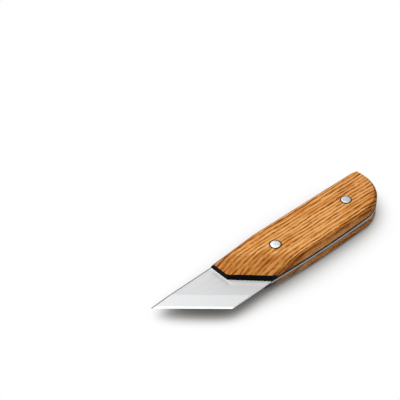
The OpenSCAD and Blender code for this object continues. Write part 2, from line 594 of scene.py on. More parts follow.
    def _on_fall(self, tree: NodeTree, in_mm: NodeSocket) -> NodeSocket:
        """Marks the fall behind the skewed front.

        Args:
            tree: node tree of the material.
            in_mm: place on the piece in millimetres.

        Returns:
            1 on the fall and 0 on the flat, with a soft change at the crown.
        """
        point, outward = self.front[-1]
        depth = depth_from(tree, in_mm, point, -outward)
        soft = limits((self.fall - self.crown, self.fall + self.crown), FADING)
        return add_node(tree, "MapRange", {"Value": depth, **soft}, interpolation_type="SMOOTHSTEP")

    def _oil_and_shade(self, tree: NodeTree, in_mm: NodeSocket, colour: NodeSocket, fall: NodeSocket) -> NodeSocket:
        """Deepens the colour where the wood drank more oil, and paints shade on the walls, chamfers, spine
        side and butt.

        Args:
            tree: node tree of the material.
            in_mm: place on the piece in millimetres.
            colour: colour of the wood.
            fall: 1 on the front fall.

        Returns:
            The deepened colour.
        """
        normal = add_node(tree, "TexCoord", out="Normal")
        facing = add_node(tree, "SeparateXYZ", {0: normal}).node.outputs
        level = add_node(tree, "Math", {0: facing["Z"]}, operation="ABSOLUTE")
        # Painted shade on walls and chamfers, on the spine side, and, with the oil, on the butt
        chamfer = add_node(tree, "MapRange", {"Value": level, **limits(self.chamfer_shade_facing, FADING)})
        spine = add_node(tree, "MapRange", {"Value": facing["Y"], **limits(self.spine_shade_facing)})
        butt = add_node(tree, "MapRange", {"Value": facing["X"], **limits(self.butt_facing)})
        along = add_node(tree, "SeparateXYZ", {0: in_mm}, out="X")
        soak = limits((self.butt_x - self.soak[0], self.butt_x - self.soak[1]))
        soaked = add_node(tree, "MapRange", {"Value": along, **soak}, interpolation_type="SMOOTHSTEP")
        for share, tint in zip((fall, chamfer, spine, butt, soaked), self.oil_and_shade_tints):
            deep = add_node(tree, "VectorMath", {0: colour, 1: tint}, operation="MULTIPLY")
            colour = add_node(tree, "Mix", {0: share, "A": colour, "B": deep}, data_type="RGBA")
        return colour

    def _rivet_shade(self, tree: NodeTree, in_mm: NodeSocket, colour: NodeSocket) -> NodeSocket:
        """Paints a thin ring of shade on the wood round each rivet's head.

        Args:
            tree: node tree of the material.
            in_mm: place on the piece in millimetres.
            colour: colour of the wood.

        Returns:
            The colour with the rings.
        """
        dark = linear(self.rivet_shade)
        # Painted shade in a ring round each rivet's head
        for centre, ring in zip(self.rivets, self.rings):
            away = from_axis(tree, in_mm, centre)
            edge = {"Value": away, **limits(ring, (self.rivet_shade_share, 0.0))}
            share = add_node(tree, "MapRange", edge, interpolation_type="SMOOTHSTEP")
            colour = add_node(tree, "Mix", {0: share, "A": colour, "B": dark}, data_type="RGBA")
        return colour

    def _paint_and_shade(self, tree: NodeTree, in_mm: NodeSocket) -> NodeSocket:
        """Paints the front faces and a lap round the belly corner, and the line of painted shade at the tang.

        Args:
            tree: node tree of the material.
            in_mm: place on the piece in millimetres.

        Returns:
            Share of paint and painted shade.
        """
        noise = {"Vector": in_mm, "Scale": self.ragged_per_mm, "Detail": 3.0}
        ragged = add_node(tree, "TexNoise", noise)
        ragged = add_node(tree, "MapRange", {"Value": ragged, **limits(SHARE, self.ragged)})
        height = add_node(tree, "SeparateXYZ", {0: in_mm}, out="Z")
        height = add_node(tree, "Math", {0: height, 1: self.inner_z}, operation="SUBTRACT")
        height = add_node(tree, "Math", {0: height}, operation="ABSOLUTE")
        normal = add_node(tree, "TexCoord", out="Normal")
        # The line along the tang is painted shade at the joint with the steel
        painted = add_node(tree, "MapRange", {"Value": height, **limits(self.paint.line, FADING)})
        shares = [self._lap(tree, in_mm, height, ragged, normal)]
        for point, outward in self.front:
            depth = depth_from(tree, in_mm, point, -outward)
            near = add_node(tree, "Math", {0: depth, 1: self.paint_depth}, operation="LESS_THAN")
            look = add_node(tree, "VectorMath", {0: normal, 1: outward}, out="Value", operation="DOT_PRODUCT")
            look = add_node(tree, "Math", {0: look, 1: ragged}, operation="ADD")
            facing = add_node(tree, "MapRange", {"Value": look, **limits(self.front_facing)})
            shares.append(add_node(tree, "Math", {0: near, 1: facing}, operation="MULTIPLY"))
        for share in shares:
            painted = add_node(tree, "Math", {0: painted, 1: share}, operation="MAXIMUM")
        return painted

    def _lap(
        self, tree: NodeTree, in_mm: NodeSocket, height: NodeSocket, ragged: NodeSocket, normal: NodeSocket
    ) -> NodeSocket:
        """Runs the paint round the belly corner, lower the further it is from the front. On the lower scale,
        this grey lap is painted shade.

        Args:
            tree: node tree of the material.
            in_mm: place on the piece in millimetres.
            height: height over the tang in millimetres.
            ragged: unevenness of the paint's edge in millimetres.
            normal: direction that the surface looks in.

        Returns:
            Share of paint in the lap.
        """
        reach = depth_from(tree, in_mm, self.wrap_from, Vector((1, 0, 0)))
        reach = add_node(tree, "Math", {0: reach, 1: ragged}, operation="ADD")
        lap = add_node(tree, "Math", {0: reach, 1: self.paint.lap[0]}, operation="LESS_THAN")
        top = add_node(tree, "Math", {0: reach, 1: self.lap_slope, 2: height}, operation="MULTIPLY_ADD")
        low = add_node(tree, "Math", {0: top, 1: self.paint.lap[1]}, operation="LESS_THAN")
        lap = add_node(tree, "Math", {0: lap, 1: low}, operation="MULTIPLY")
        wall = add_node(tree, "VectorMath", {0: normal, 1: (0, -1, 0)}, out="Value", operation="DOT_PRODUCT")
        wall = add_node(tree, "MapRange", {"Value": wall, **limits(self.wall_facing)})
        return add_node(tree, "Math", {0: lap, 1: wall}, operation="MULTIPLY")


@dataclass(frozen=True)
class GroundSteel:
    """Tool steel, surface ground along its length: an even satin grey with faint long marks.

    The bevel is ground finer, so it looks brighter. The hone is polished, and a painted highlight brightens
    it, and another brightens the steel just ahead of the scales' fronts. A dark line runs along the spine's
    arris. The bare edges carry a painted shade on their lower half and a painted highlight on their upper
    half. The tang's edges are sanded with the wood and look duller, with a blue-grey painted reflection,
    under a black line of painted shade at the joint.
    """

    name: str
    tip: Vector
    inward: Vector
    bevel: float
    hone: float
    front: tuple[Plane, ...]
    front_x: float

    # Real grinding marks are some hundredths of a millimetre wide. They are drawn at 0.6 mm, to show at all.
    mark: Span = (30.0, 0.6)
    mark_edge: Span = (0.3, 0.7)
    mark_bump: float = 0.08
    mark_depth: float = 0.02
    # Roughness of the steel just ahead of the scales' fronts
    satin: Span = (0.52, 0.6)
    near_scales_rough: float = 0.9
    bevel_rough: float = 0.42

    # Faces
    face: Stops = ((0.3, "#d1d1d2"), (0.7, "#d9d9d9"))
    # Painted highlight on the steel just ahead of the scales' fronts
    painted_highlight: str = "#ffffff"
    highlight_reach: Span = (2.0, 6.0)
    ground: str = "#d0d1d2"
    # Painted highlight along the hone
    hone_highlight: str = "#e8e8e8"
    # Dark line drawn along the spine's arris
    arris_dark: str = "#6d7074"
    arris_dark_from: Span = (0.7, 0.6)
    arris_dark_share: float = 0.95
    face_up: Span = (0.3, 0.5)

    # Edges
    # Bare edges: painted shade on the lower half, painted highlight on the upper half
    edge_shade: str = "#7d7b78"
    edge_highlight: str = "#ffffff"
    edge_light_blend: float = 0.1
    # Tang edges: sanded duller, and blue-grey as a painted reflection
    tang: str = "#a7adb3"
    # Black line of painted shade at the joint of tang and scale
    joint_shade: str = "#0d0a08"
    joint_shade_from: Span = (0.4, 0.65)

    def material(self) -> Material:
        """Builds the node material.

        Returns:
            The material.
        """
        material, tree = new_material(self.name)
        in_mm = in_millimetres(tree)
        depth = depth_from(tree, in_mm, self.tip, self.inward)
        marks = drawn_noise(tree, in_mm, *self.mark, detail=4.0)
        near = self._near_scales(tree, in_mm)
        ground = add_node(tree, "Math", {0: depth, 1: self.bevel}, operation="LESS_THAN")
        hone_highlight = add_node(tree, "Math", {0: depth, 1: self.hone}, operation="LESS_THAN")
        rough = add_node(tree, "MapRange", {"Value": marks, **limits(self.mark_edge, self.satin)})
        for share, level in ((near, self.near_scales_rough), (ground, self.bevel_rough)):
            rough = add_node(tree, "Mix", {0: share, "A": rough, "B": level}, data_type="FLOAT")
        scratches = {"Strength": self.mark_bump, "Distance": self.mark_depth * MM, "Height": marks}
        bump = add_node(tree, "Bump", scratches)
        # Painted highlights ahead of the scales and on the hone, over the bevel's own colour
        layers = ((near, self.painted_highlight), (ground, self.ground), (hone_highlight, self.hone_highlight))
        face = self._face(tree, in_mm, marks, layers)
        up = add_node(tree, "TexCoord", out="Normal")
        up = add_node(tree, "SeparateXYZ", {0: up}, out="Z")
        up = add_node(tree, "Math", {0: up}, operation="ABSOLUTE")
        up = add_node(tree, "MapRange", {"Value": up, **limits(self.face_up)})
        edge = self._edge(tree, in_mm)
        colour = add_node(tree, "Mix", {0: up, "A": edge, "B": face}, data_type="RGBA")
        looks = {"Base Color": colour, "Metallic": 1.0, "Roughness": rough, "Normal": bump}
        shader = add_node(tree, "BsdfPrincipled", looks)
        add_node(tree, "OutputMaterial", {"Surface": shader})
        return material

    def _face(
        self,
        tree: NodeTree,
        in_mm: NodeSocket,
        marks: NodeSocket,
        layers: tuple[tuple[NodeSocket, str], ...],
    ) -> NodeSocket:
        """Colours the flat faces and the bevel.

        Args:
            tree: node tree of the material.
            in_mm: place on the piece in millimetres.
            marks: grinding marks.
            layers: share and colour of each band, from the widest to the narrowest: the painted highlight
                ahead of the scales, the bevel, and the painted highlight on the hone.

        Returns:
            Colour of the faces.
        """
        colour = add_node(tree, "ValToRGB", {0: marks}, stops=self.face)
        across = add_node(tree, "SeparateXYZ", {0: in_mm}, out="Y")
        arris = tuple(self.tip.y - below for below in self.arris_dark_from)
        line = limits(arris, (0.0, self.arris_dark_share))
        arris_dark = add_node(tree, "MapRange", {"Value": across, **line})
        for share, code in (*layers, (arris_dark, self.arris_dark)):
            colour = add_node(tree, "Mix", {0: share, "A": colour, "B": linear(code)}, data_type="RGBA")
        return colour

    def _edge(self, tree: NodeTree, in_mm: NodeSocket) -> NodeSocket:
        """Colours the edges: the blade's bare ones with painted shade below and a painted highlight above,
        the tang's sanded ones with a painted reflection, and a line of painted shade at the joint.

        Args:
            tree: node tree of the material.
            in_mm: place on the piece in millimetres.

        Returns:
            Colour of the edges.
        """
        parts = add_node(tree, "SeparateXYZ", {0: in_mm}).node.outputs
        middle = self.tip.z
        # Painted shade below the middle of the bare edges, painted highlight above it
        blend = limits((middle - self.edge_light_blend, middle + self.edge_light_blend))
        upper = add_node(tree, "MapRange", {"Value": parts["Z"], **blend})
        bare = {0: upper, "A": linear(self.edge_shade), "B": linear(self.edge_highlight)}
        edge = add_node(tree, "Mix", bare, data_type="RGBA")
        tang = add_node(tree, "Math", {0: parts["X"], 1: self.front_x}, operation="GREATER_THAN")
        # The line of painted shade along the top of the tang's edges
        line = limits((middle + self.joint_shade_from[0], middle + self.joint_shade_from[1]))
        joint_shade = add_node(tree, "MapRange", {"Value": parts["Z"], **line})
        joint_shade = add_node(tree, "Math", {0: joint_shade, 1: tang}, operation="MULTIPLY")
        for share, code in ((tang, self.tang), (joint_shade, self.joint_shade)):
            edge = add_node(tree, "Mix", {0: share, "A": edge, "B": linear(code)}, data_type="RGBA")
        return edge

    def _near_scales(self, tree: NodeTree, in_mm: NodeSocket) -> NodeSocket:
        """Marks the steel ahead of the scales' fronts, which takes a painted highlight.

        Args:
            tree: node tree of the material.
            in_mm: place on the piece in millimetres.

        Returns:
            1 at the fronts, down to 0 some millimetres ahead of them, and 0 under the scales.
        """
        shares = []
        steps = []
        for (point, outward), reach in zip(self.front, self.highlight_reach):
            away = depth_from(tree, in_mm, point, outward)
            fade = {"Value": away, **limits((0.0, reach), FADING)}
            shares.append(add_node(tree, "MapRange", fade, interpolation_type="SMOOTHSTEP"))
            steps.append(away)
        near = add_node(tree, "Math", {0: shares[0], 1: shares[1]}, operation="MINIMUM")
        ahead = add_node(tree, "Math", {0: steps[0], 1: steps[1]}, operation="MAXIMUM")
        ahead = add_node(tree, "Math", {0: ahead, 1: 0.0}, operation="GREATER_THAN")
        return add_node(tree, "Math", {0: near, 1: ahead}, operation="MULTIPLY")


@dataclass(frozen=True)
class SandedAluminium:
    """Aluminium rivet, headed and then sanded with the handle: satin, with painted shade on its rim.

    The middle of the head is mottled, and a band round it carries a painted highlight.
    """

    name: str
    centre: Vector
    dull: str
    bright: str
    rim: Span
    # Colour of the painted shade on the head's rim
    rim_shade: str = "#6a6764"
    # Band of painted highlight round the mottled middle
    ring_highlight: Span = (1.4, 2.3)

    # Sanding scratches are too fine to show, so their mottle is drawn with spots of about 1 mm
    mottle_per_mm: float = 1.1
    mottle_edge: Span = (0.38, 0.56)
    mottle_bump: float = 0.25
    mottle_depth: float = 0.05
    rough_edge: Span = (0.35, 0.65)
    rough: Span = (0.3, 0.45)

    def material(self) -> Material:
        """Builds the node material.

        Returns:
            The material.
        """
        material, tree = new_material(self.name)
        in_mm = in_millimetres(tree)
        noise = {"Vector": in_mm, "Scale": self.mottle_per_mm, "Detail": 3.0}
        mottle = add_node(tree, "TexNoise", noise)
        stops = tuple(zip(self.mottle_edge, (self.dull, self.bright)))
        colour = add_node(tree, "ValToRGB", {0: mottle}, stops=stops)
        away = from_axis(tree, in_mm, self.centre)
        rim = add_node(tree, "MapRange", {"Value": away, **limits(self.rim)})
        band = {"Value": away, **limits(self.ring_highlight)}
        ring_highlight = add_node(tree, "MapRange", band, interpolation_type="SMOOTHSTEP")
        for share, code in ((ring_highlight, self.bright), (rim, self.rim_shade)):
            colour = add_node(tree, "Mix", {0: share, "A": colour, "B": linear(code)}, data_type="RGBA")
        rough = add_node(tree, "MapRange", {"Value": mottle, **limits(self.rough_edge, self.rough)})
        scratches = {"Strength": self.mottle_bump, "Distance": self.mottle_depth * MM, "Height": mottle}
        bump = add_node(tree, "Bump", scratches)
        looks = {"Base Color": colour, "Metallic": 1.0, "Roughness": rough, "Normal": bump}
        shader = add_node(tree, "BsdfPrincipled", looks)
        add_node(tree, "OutputMaterial", {"Surface": shader})
        return material


@dataclass(frozen=True)
class MattLaminate:
    """White laminate, matt: an even white table that shows a soft contact shadow under the knife.

    The shadow is a grey by the share of sky that the knife hides within a reach.
    """

    name: str = "White matt laminate"
    white: str = "#f7f7f7"
    rough: float = 0.9
    reach: float = 60.0
    samples: int = 16
    shadow: Stops = (
        (0.22, "#5a5856"),
        (0.35, "#747370"),
        (0.51, "#a09f9d"),
        (0.67, "#d4d3d2"),
        (0.79, "#f0f0f0"),
        (0.85, "#ffffff"),
    )

    def material(self) -> Material:
        """Builds the node material.

        Returns:
            The material.
        """
        material, tree = new_material(self.name)
        looks = {"Base Color": linear(self.white), "Roughness": self.rough, "Specular IOR Level": 0.0}
        plain = add_node(tree, "BsdfPrincipled", looks)
        hidden = {"Distance": self.reach * MM}
        sky = add_node(tree, "AmbientOcclusion", hidden, out="AO", samples=self.samples)
        shade = add_node(tree, "ValToRGB", {0: sky}, stops=self.shadow)
        shown = add_node(tree, "Emission", {"Color": shade})
        shader = add_node(tree, "MixShader", {0: seen_rays(tree), 1: plain, 2: shown})
        add_node(tree, "OutputMaterial", {"Surface": shader})
        return material


# Sub-assemblies, with their sizes in millimetres and degrees


def rivet_node(place: Place, half: Half) -> str:
    """Name of the solid of one half of a rivet."""
    return f"{place.value}_rivet_{half.value}"


def rivet_centre(place: Place) -> Vector:
    """Middle of a rivet in millimetres."""
    low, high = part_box(rivet_node(place, Half.PIN))
    return (low + high) / 2 / MM


@dataclass(frozen=True)
class HandlePlan:
    """Outline of the handle, set on the box of the steel."""

    blade_width: float = 30.0
    spine_length: float = 44.0
    spine_fall: float = 1.4
    belly_radius: float = 880.0
    belly_back: float = 40.4
    butt_radius: float = 23.2
    butt_lap: float = 0.1
    corner_cut: float = 0.8
    front_step: float = 12.9
    front_angle: float = 46.0
    edge_angle: float = 43.5
    belly_lead: float = 4.0
    belly_steps: int = 14
    butt_steps: int = 60
    butt_turn: Span = (-89.0, 60.0)

    @property
    def low(self) -> Vector:
        """Lowest corner of the steel's box."""
        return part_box("blade")[0] / MM

    @property
    def high(self) -> Vector:
        """Highest corner of the steel's box."""
        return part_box("blade")[1] / MM

    @property
    def front(self) -> Vector:
        """Place on the spine where the scales begin."""
        return Vector((self.low.x + self.spine_length, self.high.y, 0))

    @property
    def corner(self) -> Vector:
        """Corner of the two front edges."""
        return self.front - Vector((0, self.front_step, 0))

    @property
    def skew_out(self) -> Vector:
        """Direction that the skewed front face looks in."""
        turn = math.radians(self.front_angle)
        return Vector((-math.sin(turn), -math.cos(turn), 0))

    @property
    def fronts(self) -> tuple[Plane, Plane]:
        """Planes of the square and the skewed front face."""
        return (self.front, Vector((-1, 0, 0))), (self.corner, self.skew_out)

    @property
    def spine_out(self) -> Vector:
        """Direction that the handle's spine looks in."""
        turn = math.radians(self.spine_fall)
        return Vector((math.sin(turn), math.cos(turn), 0))

    @property
    def belly_centre(self) -> Vector:
        """Centre of the belly's long curve."""
        return Vector((self.high.x - self.belly_back, self.low.y + self.belly_radius, 0))

    @property
    def butt_centre(self) -> Vector:
        """Finds the centre of the round butt.

        Returns:
            Plan point that the butt is round about.
        """
        x = self.high.x - self.butt_radius
        belly = self.belly_at(x)[0]
        return Vector((x, belly.y + self.butt_radius - self.butt_lap, 0))

    @property
    def lower_end(self) -> Vector:
        """End of the blade's lower edge at the scales."""
        run = (self.blade_width - self.front_step) / math.tan(math.radians(self.front_angle))
        return Vector((self.front.x + run, self.high.y - self.blade_width, 0))

    @property
    def butt_corner(self) -> Vector:
        """Finds the small flat that takes off the corner of spine and butt.

        Returns:
            Plan point on the flat.
        """
        drop = (self.front - self.butt_centre).dot(self.spine_out)
        along = Vector((self.spine_out.y, -self.spine_out.x, 0))
        run = math.sqrt(self.butt_radius**2 - drop**2)
        corner = self.butt_centre + self.spine_out * drop + along * run
        round_out = (corner - self.butt_centre).normalized()
        return corner - (round_out + self.spine_out).normalized() * self.corner_cut

    def belly_at(self, x: float) -> Plane:
        """Finds the upright plane that touches the belly.

        Args:
            x: place along the handle.

        Returns:
            The plane.
        """
        turn = math.asin((x - self.belly_centre.x) / self.belly_radius)
        out = Vector((math.sin(turn), -math.cos(turn), 0))
        return self.belly_centre + out * self.belly_radius, out

    def belly(self) -> Iterator[Plane]:
        """Gives upright planes along the belly.

        Returns:
            The planes, from just ahead of the scales to the butt.
        """
        start = self.lower_end.x - self.belly_lead
        run = self.butt_centre.x - start
        for i in range(self.belly_steps + 1):
            yield self.belly_at(start + run * i / self.belly_steps)

    def butt(self) -> Iterator[Plane]:
        """Gives upright planes round the butt.

        Returns:
            The planes, from the belly to the spine, and then the small flat at the corner with the spine.
        """
        start, end = (math.radians(turn) for turn in self.butt_turn)
        for i in range(self.butt_steps + 1):
            turn = start + (end - start) * i / self.butt_steps
            out = Vector((math.cos(turn), math.sin(turn), 0))
            yield self.butt_centre + out * self.butt_radius, out
        yield self.butt_corner, (out + self.spine_out).normalized()


@dataclass
class HandleScale:
    """One shaped wooden scale, with its planed falls, rounded chamfers, painted front and rivet holes."""

    side: Side
    plan: HandlePlan
    thickness: float = 6.6
    nose_height: float = 3.7
    nose_fall: float = 27.0
    front_height: float = 4.2
    front_fall: float = 14.5
    wall: float = 4.6
    nose_wall: float = 0.9
    nose_length: float = 31.0
    finger_wall: float = 1.7
    finger_length: float = 34.0
    chamfer: float = 48.0
    crown_round: float = 40.0
    crown_steps: int = 5
    top_round: float = 0.7
    wall_round: float = 0.9
    front_round: float = 0.4
    spare: float = 2.0
    weld: float = 0.002
    smooth: float = 40.0
    hole: float = 4.2
    counterbore: float = 6.1
    drill_sides: int = 72
    head_height: float = HEAD_HEIGHT

    @property
    def node(self) -> str:
        """Name of the solid that this scale stands for."""
        return f"{self.side.name.lower()}_scale"

    @property
    def inner_z(self) -> float:
        """Height of the face on the tang."""
        low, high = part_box(self.node)
        return (low.z if self.side is Side.UPPER else high.z) / MM

    @property
    def top(self) -> Plane:
        """Plane of the flat outer face."""
        return self._at(self.plan.front, self.thickness), Vector((0, 0, self.side.value))

    def _lift(self, direction: Vector, tilt: float) -> Vector:
        """Turns a level direction up from the tang by a tilt in degrees."""
        turn = math.radians(tilt)
        return direction * math.cos(turn) + Vector((0, 0, self.side.value * math.sin(turn)))

    def _at(self, point: Vector, height: float) -> Vector:
        """Point over a plan point, at a height over the inner face."""
        return Vector((point.x, point.y, self.inner_z + self.side.value * height))

    def _fall(self, out: Vector, height: float, length: float) -> Plane:
        """Planes a fall from the flat to a front edge.

        Args:
            out: direction that the front edge looks in.
            height: thickness of the scale at the front edge.
            length: length of the fall, square to the edge.

        Returns:
            Plane of the fall.
        """
        slope = math.degrees(math.atan2(self.thickness - height, length))
        return self._at(self.plan.corner, height), self._lift(out, 90 - slope)

    def _edge(self, point: Vector, out: Vector, *tops: Plane) -> Iterator[Plane]:
        """Gives the wall and chamfer on one side of the outline, with their rounds.

        Args:
            point: plan point on the wall.
            out: direction that the wall looks in.
            tops: planes that the chamfer runs up to.

        Returns:
            The planes of that side.
        """
        wall = (point, out)
        chamfer = (self._at(point, self.wall), self._lift(out, 90 - self.chamfer))
        yield wall
        yield chamfer
        yield from rounded(wall, chamfer, self.wall_round)
        for top in tops:
            yield from rounded(chamfer, top, self.top_round)

    def _nose(self) -> tuple[Plane, Plane]:
        """Finds the chamfer that runs out to the front of the spine.

        Returns:
            Wall of the spine, and the facet that lowers it towards the front.
        """
        out = self.plan.spine_out
        along = Vector((out.y, -out.x, 0))
        pitch = (self.wall - self.nose_wall) / self.nose_length
        facet = self._at(self.plan.front, self.nose_wall), self._pitched(out, along, pitch)
        return (self.plan.front, out), facet

    def _finger(self) -> tuple[Plane, Plane]:
        """Finds the chamfer at the front of the belly, which the lower scale has eased for the finger.

        Returns:
            Wall of the belly, and the chamfer on it.
        """
        point, out = self.plan.belly_at(self.plan.lower_end.x)
        along = Vector((-out.y, out.x, 0))
        foot = self.finger_wall if self.side is Side.LOWER else self.wall
        pitch = (self.wall - foot) / self.finger_length
        return (point, out), (self._at(point, foot), self._pitched(out, along, pitch))

    def _pitched(self, out: Vector, along: Vector, pitch: float) -> Vector:
        """Tilts a chamfer whose foot climbs along the wall.

        Args:
            out: direction that the wall looks in.
            along: direction of the wall, away from the front.
            pitch: climb of the foot for each step along.

        Returns:
            Normal of the chamfer.
        """
        foot = along + Vector((0, 0, self.side.value * pitch))
        slope = Vector((0, 0, self.side.value)) * math.sin(math.radians(self.chamfer))
        slope = slope - out * math.cos(math.radians(self.chamfer))
        normal = foot.cross(slope).normalized()
        return normal if normal.dot(out) > 0 else -normal

    def planes(self) -> Iterator[Plane]:
        """Gives all planes that shape the scale, but for its inner face and its flat.

        Returns:
            The planes, in the order that they are cut in.
        """
        plan = self.plan
        square, skewed = plan.fronts
        nose_fall = self._fall(square[1], self.nose_height, self.nose_fall)
        front_fall = self._fall(skewed[1], self.front_height, self.front_fall)
        for front, fall, (wall, facet) in (
            (square, nose_fall, self._nose()),
            (skewed, front_fall, self._finger()),
        ):
            yield from (front, fall, facet)
            yield from rounded(fall, self.top, self.crown_round, self.crown_steps)
            yield from rounded(wall, facet, self.wall_round)
            for top in (self.top, fall):
                yield from rounded(facet, top, self.top_round)
            for side in (fall, wall, facet):
                yield from rounded(front, side, self.front_round)
        yield from rounded(square, skewed, self.front_round)
        yield from rounded(nose_fall, front_fall, self.crown_round, self.crown_steps)
        yield from self._edge(plan.front, plan.spine_out, self.top, nose_fall)
        for point, out in plan.belly():
            yield from self._edge(point, out, self.top, front_fall)
        for point, out in plan.butt():
            yield from self._edge(point, out, self.top)

    def build(self) -> Object:
        """Cuts the scale from a block plane by plane and drills it.

        Returns:
            The finished scale.
        """
        plan = self.plan
        ends = sorted(self._at(plan.low, height).z for height in (0, self.thickness))
        low = Vector((plan.front.x - self.spare, plan.low.y - self.spare, ends[0]))
        high = Vector((plan.high.x + self.spare, plan.high.y + self.spare, ends[1]))
        bpy.ops.object.select_all(action="DESELECT")
        bpy.ops.mesh.primitive_cube_add(size=MM, location=(low + high) / 2 * MM, scale=high - low)
        piece = named(f"{self.side.name.lower()}_handle_scale")
        bpy.ops.object.mode_set(mode="EDIT")
        for plane in self.planes():
            cut_away(plane)
        bpy.ops.mesh.select_all(action="SELECT")
        bpy.ops.mesh.remove_doubles(threshold=self.weld * MM)
        bpy.ops.mesh.normals_make_consistent(inside=False)
        bpy.ops.object.mode_set(mode="OBJECT")
        for place in Place:
            self._drill(piece, place)
        pick(piece)
        bpy.ops.object.shade_smooth_by_angle(angle=math.radians(self.smooth))
        apply_modifier(piece, "WEIGHTED_NORMAL", keep_sharp=True)
        return piece

    def _drill(self, piece: Object, place: Place) -> None:
        """Drills the sleeve's hole and the head's counterbore for one rivet.

        Args:
            piece: scale that is drilled.
            place: rivet that the holes are for.
        """
        half = Half.PIN if self.side is Side.UPPER else Half.SLEEVE
        low, high = (corner.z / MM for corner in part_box(rivet_node(place, half)))
        head = high - self.head_height if half is Half.PIN else low + self.head_height
        middle = rivet_centre(place)
        far = self._at(middle, 2 * self.thickness).z
        near = self._at(middle, -self.thickness).z
        for size, start in ((self.hole, near), (self.counterbore, head)):
            bpy.ops.object.select_all(action="DESELECT")
            bpy.ops.mesh.primitive_cylinder_add(
                vertices=self.drill_sides,
                radius=size / 2 * MM,
                depth=abs(far - start) * MM,
                location=Vector((middle.x, middle.y, (far + start) / 2)) * MM,
            )
            drill = named("drill")
            pick(piece)
            apply_modifier(piece, "BOOLEAN", operation="DIFFERENCE", solver="EXACT", object=drill)
            bpy.data.objects.remove(drill)

    def dress(self, piece: Object) -> None:
        """Gives the scale its oiled wood with the painted front.

        Args:
            piece: scale that is dressed.
        """
        finish = OiledAsh(
            name=f"Oiled ash, {self.side.name.lower()} scale",
            front=self.plan.fronts,
            wrap_from=self.plan.lower_end,
            inner_z=self.inner_z,
            rivets=tuple(rivet_centre(place) for place in Place),
            fall=self.front_fall,
            butt_x=self.plan.high.x,
            paint=PAINTS_AND_SHADES[self.side],
        )
        finish_piece(piece, finish.material(), Slot.WOOD, self.node)


@dataclass
class Blade:
    """Steel blade and tang with eased edges."""

    plan: HandlePlan
    bevel_width: float = 9.3
    hone_width: float = 1.3
    edge_ease: float = 0.15
    ease_steps: int = 2
    weld: float = 0.001
    flat_within: float = 0.5
    sharp: float = 40.0
    smooth: float = 4.0

    @property
    def tip(self) -> Vector:
        """Tip of the cutting edge."""
        return Vector((self.plan.low.x, self.plan.high.y, (self.plan.low.z + self.plan.high.z) / 2))

    @property
    def inward(self) -> Vector:
        """Level direction from the cutting edge into the steel."""
        turn = math.radians(self.plan.edge_angle)
        return Vector((math.sin(turn), math.cos(turn), 0))

    def build(self) -> Object:
        """Copies the solid, joins its triangles into faces and eases its long edges.

        Returns:
            The finished blade.
        """
        piece = bpy.data.objects.new("steel_blade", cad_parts["blade"].data.copy())
        bpy.context.scene.collection.objects.link(piece)
        pick(piece)
        bpy.ops.object.mode_set(mode="EDIT")
        bpy.ops.mesh.select_all(action="SELECT")
        bpy.ops.mesh.remove_doubles(threshold=self.weld * MM)
        bpy.ops.mesh.dissolve_limited(angle_limit=math.radians(self.flat_within))
        bpy.ops.mesh.select_mode(type="EDGE")
        bpy.ops.mesh.select_all(action="DESELECT")
        bpy.ops.mesh.edges_select_sharp(sharpness=math.radians(self.sharp))
        bpy.ops.object.mode_set(mode="OBJECT")
        # The honed edge stays sharp
        for edge in piece.data.edges:
            ends = [piece.data.vertices[v].co / MM for v in edge.vertices]
            nearest = min((end - self.tip).dot(self.inward) for end in ends)
            edge.select = edge.select and nearest > self.hone_width + self.edge_ease
        bpy.ops.object.mode_set(mode="EDIT")
        ease = self.edge_ease * MM
        bpy.ops.mesh.bevel(offset=ease, segments=self.ease_steps, affect="EDGES", clamp_overlap=True)
        bpy.ops.object.mode_set(mode="OBJECT")
        bpy.ops.object.shade_smooth_by_angle(angle=math.radians(self.smooth))
        return piece

    def dress(self, piece: Object) -> None:
        """Gives the blade its ground steel.

        Args:
            piece: blade that is dressed.
        """
        finish = GroundSteel(
            name="Ground tool steel",
            tip=self.tip,
            inward=self.inward,
            bevel=self.bevel_width,
            hone=self.hone_width,
            front=self.plan.fronts,
            front_x=self.plan.lower_end.x,
        )
        finish_piece(piece, finish.material(), Slot.STEEL, "blade")


